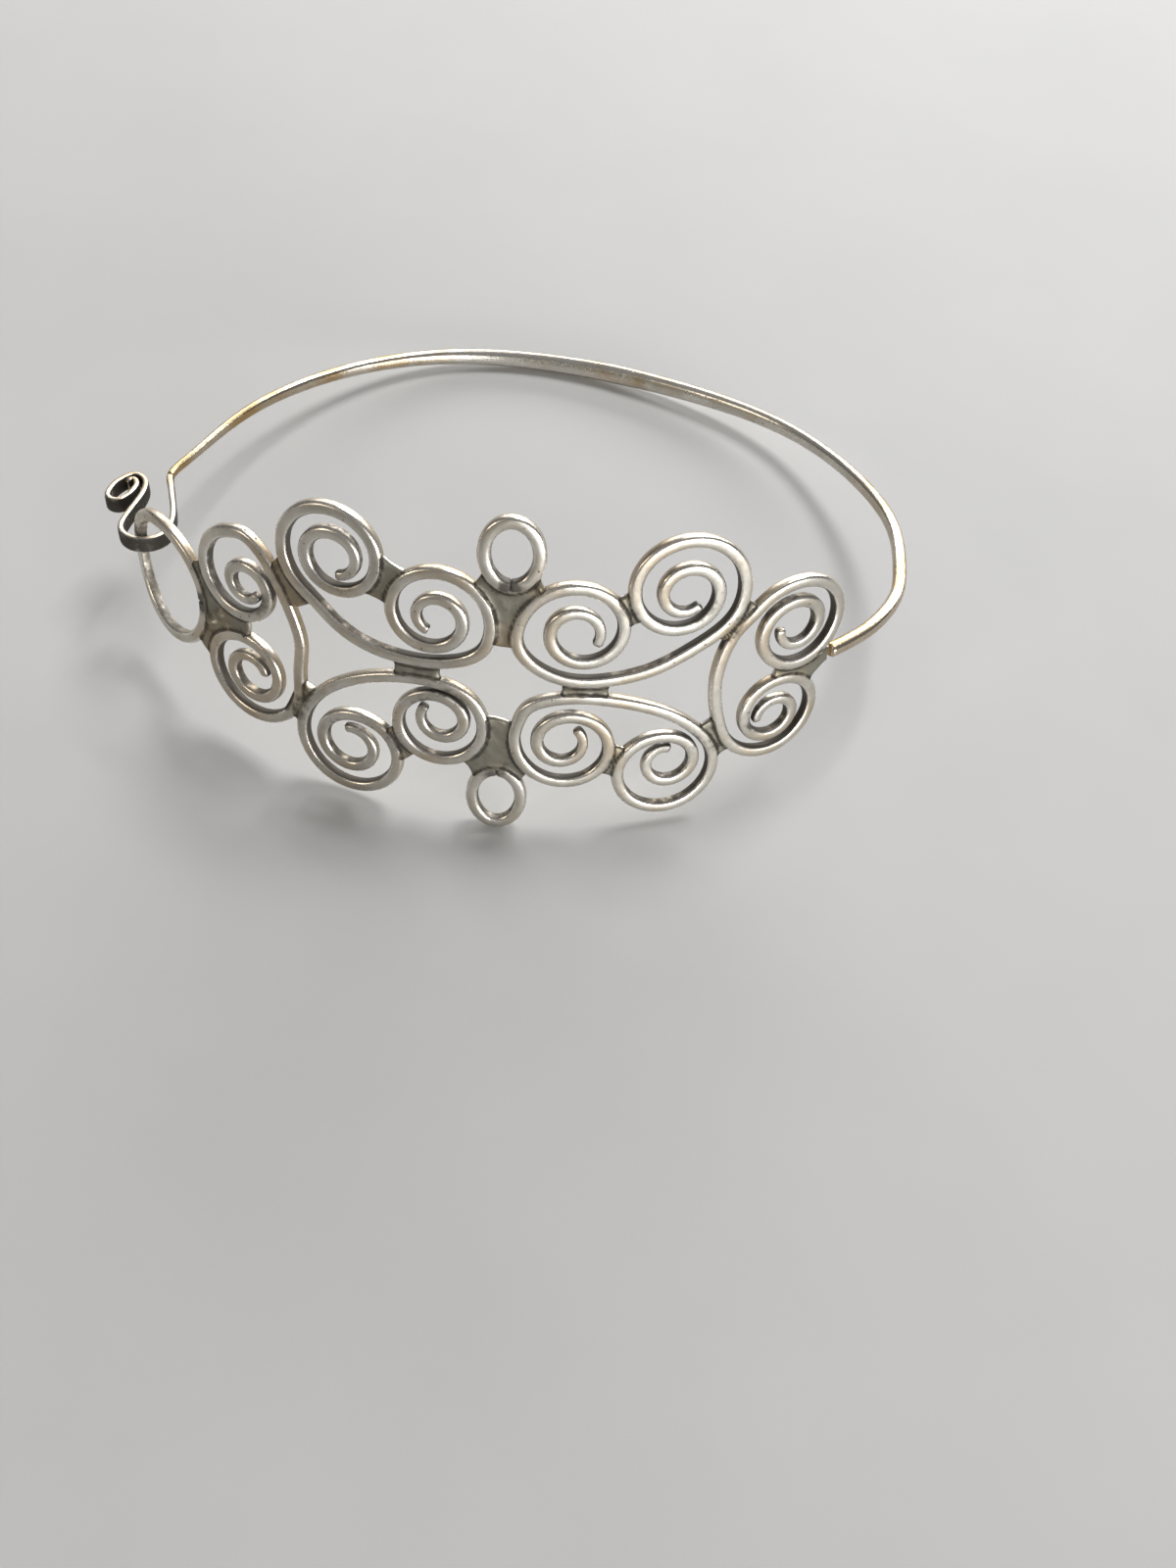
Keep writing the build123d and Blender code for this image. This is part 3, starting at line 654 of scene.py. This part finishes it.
band_points, hook_points = band_and_hook_points()
whole = smooth_line(in_band_plane(np.vstack([band_points, hook_points])), BAND_STEP)
corner = int(np.argmin(np.linalg.norm(whole[:, :2] - BAND_LINE[-1], axis=1)))
ways = np.gradient(whole, axis=0)
flat_outs = np.stack([ways[:, 1], -ways[:, 0], np.zeros(len(ways))], axis=1)
flat_outs /= np.linalg.norm(flat_outs, axis=1, keepdims=True)
share = np.linspace(0, 1, corner + 1)
marks, heights, thicknesses = zip(*BAND_SIZES)
band_tall, band_thick = np.interp(share, marks, heights), np.interp(share, marks, thicknesses)
band = swept_wire(
    "band", whole[:corner + 1], flat_outs[:corner + 1], band_tall, band_thick, BAND_SQUARENESS, BAND_SEED)
hook_count = len(whole) - corner
spread = np.clip(np.arange(hook_count) * BAND_STEP / HOOK_SPREAD, 0, 1)
hook_tall = heights[-1] + (HOOK_TALL - heights[-1]) * spread
hook_thick = thicknesses[-1] + (HOOK_THICK - thicknesses[-1]) * spread
hook = swept_wire(
    "hook", whole[corner:], flat_outs[corner:], hook_tall, hook_thick, HOOK_SQUARENESS, HOOK_SEED, HOOK_LUMPS)
for piece in (band, hook):
    piece.data.attributes.new("crevice", "FLOAT", "POINT")
finish_piece(band, "band_wire", "band_silver")
finish_piece(hook, "clasp_hook", "hook_silver")
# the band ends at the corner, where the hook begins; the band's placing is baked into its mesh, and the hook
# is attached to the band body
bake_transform(band)
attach(hook, "band")


# ---- floor, light and camera ----
FLOOR_HALF = 1.5              # metres
FLOOR_DARK, FLOOR_PALE = (0.37, 0.368, 0.362, 1), (0.41, 0.408, 0.402, 1)
FLOOR_ROUGHNESS = 0.9
# place and size in metres, power in watts, and colour
SOFT_BOXES = {
    "key": ((0.16, 0.3, 0.5), (0.22, 0.16), 3, (1, 1, 1)),
    "fill": ((-0.45, -0.4, 0.3), (0.2, 0.16), 0.6, (1, 0.86, 0.68)),
    "rim": ((0.1, 0.55, 0.2), (0.9, 0.2), 5.5, (1, 1, 1)),
    "front": ((0.6, -0.85, 0.2), (0.9, 0.3), 12, (1, 1, 1)),
}
WORLD_LOW, WORLD_HIGH = (0.22, 0.22, 0.22, 1), (0.55, 0.55, 0.56, 1)
WORLD_HIGH_AT = 0.9           # height in the world's ramp, from 0 to 1
WORLD_STRENGTH = 0.5

CAMERA_PLACE = (10.58, -95.89, 56.37)      # mm, in the bangle's frame
CAMERA_TURN, CAMERA_DOWN, CAMERA_ROLL = radians(-1.65), radians(40.59), radians(5.07)
SENSOR = 36.0
FOCAL_SHARE = 0.8125          # focal length over the image's height
NEAR_CLIP = 0.005             # metres


def floor_material():
    material = bpy.data.materials.new("pale_floor")
    n = Nodes(material)
    n.put(n.shader.inputs["Base Color"], n.mix(n.noise(25, 3), FLOOR_DARK, FLOOR_PALE))
    n.put(n.shader.inputs["Roughness"], FLOOR_ROUGHNESS)
    return material


def add_floor():
    mesh = bpy.data.meshes.new("floor")
    corners = [(x * FLOOR_HALF, y * FLOOR_HALF, 0) for x, y in ((-1, -1), (1, -1), (1, 1), (-1, 1))]
    mesh.from_pydata(corners, [], [(0, 1, 2, 3)])
    mesh.materials.append(floor_material())
    floor = bpy.data.objects.new("floor", mesh)
    bpy.context.scene.collection.objects.link(floor)


def soft_box(name, place, size, power, colour):
    data = bpy.data.lights.new(name, "AREA")
    data.shape, data.size, data.size_y = "RECTANGLE", size[0], size[1]
    data.energy, data.color = power, colour
    lamp = bpy.data.objects.new(name, data)
    lamp.location = place
    lamp.rotation_euler = (-Vector(place)).to_track_quat("-Z", "Y").to_euler()
    bpy.context.scene.collection.objects.link(lamp)


def add_world():
    world = bpy.data.worlds.new("studio")
    world.use_nodes = True
    tree = world.node_tree
    place = tree.nodes.new("ShaderNodeTexCoord")
    split = tree.nodes.new("ShaderNodeSeparateXYZ")
    ramp = tree.nodes.new("ShaderNodeValToRGB")
    low, high = ramp.color_ramp.elements
    low.position, low.color = 0.0, WORLD_LOW
    high.position, high.color = WORLD_HIGH_AT, WORLD_HIGH
    tree.links.new(place.outputs["Generated"], split.inputs[0])
    tree.links.new(split.outputs["Z"], ramp.inputs["Fac"])
    tree.links.new(ramp.outputs["Color"], tree.nodes["Background"].inputs["Color"])
    tree.nodes["Background"].inputs["Strength"].default_value = WORLD_STRENGTH
    bpy.context.scene.world = world


def add_camera():
    forward = np.array([
        sin(CAMERA_TURN) * cos(CAMERA_DOWN),
        cos(CAMERA_TURN) * cos(CAMERA_DOWN),
        -sin(CAMERA_DOWN),
    ])
    level_right = np.array([cos(CAMERA_TURN), -sin(CAMERA_TURN), 0])
    level_up = np.cross(level_right, forward)
    right = cos(CAMERA_ROLL) * level_right + sin(CAMERA_ROLL) * level_up
    up = cos(CAMERA_ROLL) * level_up - sin(CAMERA_ROLL) * level_right
    data = bpy.data.cameras.new("camera")
    data.sensor_fit, data.sensor_height, data.lens = "VERTICAL", SENSOR, SENSOR * FOCAL_SHARE
    data.clip_start = NEAR_CLIP
    camera = bpy.data.objects.new("camera", data)
    axes = [turn_to_row(axis) for axis in (right, up, -forward)]
    camera.matrix_world = Matrix.Translation(to_row(CAMERA_PLACE)) @ Matrix(axes).transposed().to_4x4()
    bpy.context.scene.collection.objects.link(camera)
    bpy.context.scene.camera = camera


bpy.context.scene.view_settings.view_transform = "Standard"
add_floor()
add_world()
for name, settings in SOFT_BOXES.items():
    soft_box(name, *settings)
add_camera()
